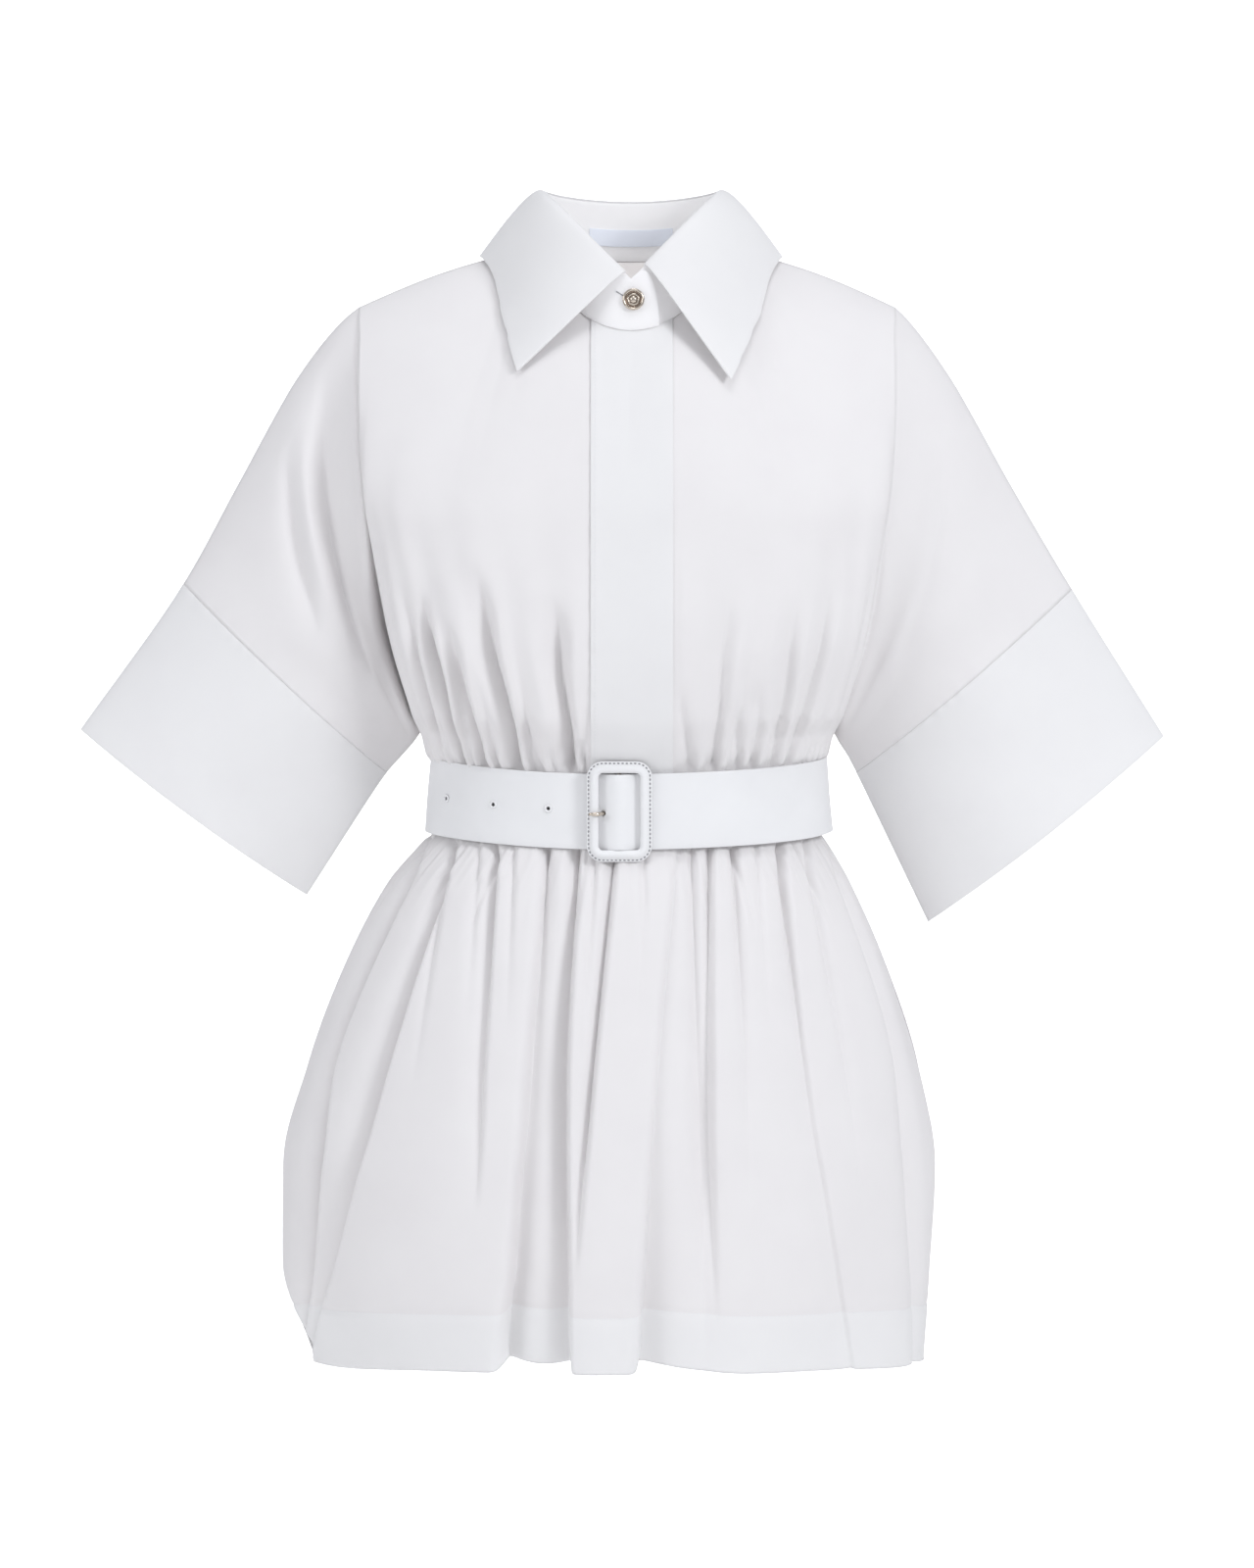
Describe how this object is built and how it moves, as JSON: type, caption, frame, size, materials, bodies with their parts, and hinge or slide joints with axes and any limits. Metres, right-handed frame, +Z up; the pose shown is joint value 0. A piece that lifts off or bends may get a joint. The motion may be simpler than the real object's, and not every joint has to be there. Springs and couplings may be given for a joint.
{
  "type": "shirt dress",
  "caption": "Short cotton shirt dress with a pointed collar, concealed button front, wide elbow sleeves and a gathered skirt under a buckled belt, filled out as if worn.",
  "frame": {"origin": "midway between the two neck points, where the shoulders carry the dress", "axes": "+Z up the body from the hem to the collar, +Y towards the back, +X towards the wearer's left hand"},
  "size_m": [0.7963, 0.295, 0.8632],
  "materials": {
    "poplin": "matt cotton poplin",
    "belt": "matt covered belt",
    "metal": "polished pale gold",
    "label": "satin woven label"
  },
  "bodies": {
    "root": {"front_right": "poplin", "front_left": "poplin", "back": "poplin", "button_band": "poplin", "collar_stand": "poplin", "collar_leaf": "poplin", "sleeve_right": "poplin", "sleeve_band_right": "poplin", "sleeve_left": "poplin", "sleeve_band_left": "poplin", "skirt_front": "poplin", "skirt_back": "poplin", "belt_strap": "belt", "buckle_frame": "belt", "prong": "metal", "eyelet_1": "belt", "eyelet_2": "belt", "eyelet_3": "belt", "neck_button": "metal", "neck_label": "label"}
  },
  "joints": []
}
